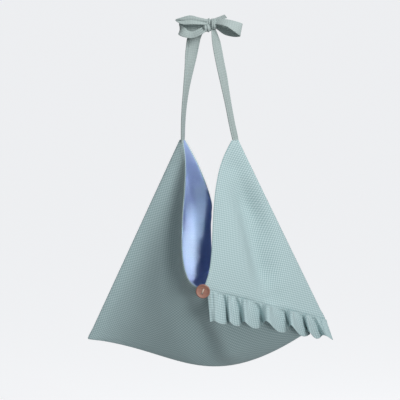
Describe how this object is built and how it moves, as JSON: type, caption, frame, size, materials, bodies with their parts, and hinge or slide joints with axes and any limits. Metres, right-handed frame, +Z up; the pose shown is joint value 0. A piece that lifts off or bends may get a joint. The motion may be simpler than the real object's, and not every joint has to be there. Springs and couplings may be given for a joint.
{
  "type": "folded cloth bag",
  "caption": "Folded origami-style cloth shoulder bag with a contrast lining, straps tied in a bow, a gathered ruffle along the front seam and a wooden button at the notch.",
  "frame": {"origin": "the hang point, under the knot of the bow, where a hook or a hand carries the bag", "axes": "+Z up, +X to the right seen from the front, the front with the button faces -Y"},
  "size_m": [0.3662, 0.2221, 0.5302],
  "materials": {
    "outer_gingham": "woven cotton, small sage and white check",
    "lining_chambray": "plain woven blue chambray",
    "strap_gingham": "the outer cloth folded and stitched into a tie",
    "button_wood": "turned wood, satin",
    "sewing_thread": "spun cotton thread"
  },
  "bodies": {
    "handle": {"bow_knot": "strap_gingham", "bow_wrap": "strap_gingham", "left_strap": "strap_gingham", "right_strap": "strap_gingham", "bow_left_loop": "strap_gingham", "bow_right_loop": "strap_gingham", "bow_left_tail": "strap_gingham", "bow_right_tail": "strap_gingham"},
    "bag": {"outer_left_front": "outer_gingham", "outer_left_back": "outer_gingham", "outer_base_front": "outer_gingham", "outer_base_back": "outer_gingham", "outer_right_front": "outer_gingham", "outer_right_back": "outer_gingham", "lining_left_front": "lining_chambray", "lining_left_back": "lining_chambray", "lining_base_front": "lining_chambray", "lining_base_back": "lining_chambray", "lining_right_front": "lining_chambray", "lining_right_back": "lining_chambray"},
    "ruffle": {"ruffle": "outer_gingham"},
    "button": {"button": "button_wood", "button_thread": "sewing_thread"}
  },
  "joints": [
    {"name": "bag_swing", "type": "hinge", "parent": "handle", "child": "bag", "pos_m": [0, 0, -0.166], "axis": [1, 0, 0], "range_deg": [-60, 60]},
    {"name": "ruffle_lift", "type": "hinge", "parent": "bag", "child": "ruffle", "pos_m": [-0.00203, -0.10179, -0.37712], "axis": [-0.8355, -0.4715, 0.2823], "range_deg": [0, 70]},
    {"name": "button_turn", "type": "hinge", "parent": "bag", "child": "button", "pos_m": [-0.01, -0.1085, -0.3773], "axis": [0, -1, 0], "range_deg": [-25, 25]}
  ]
}
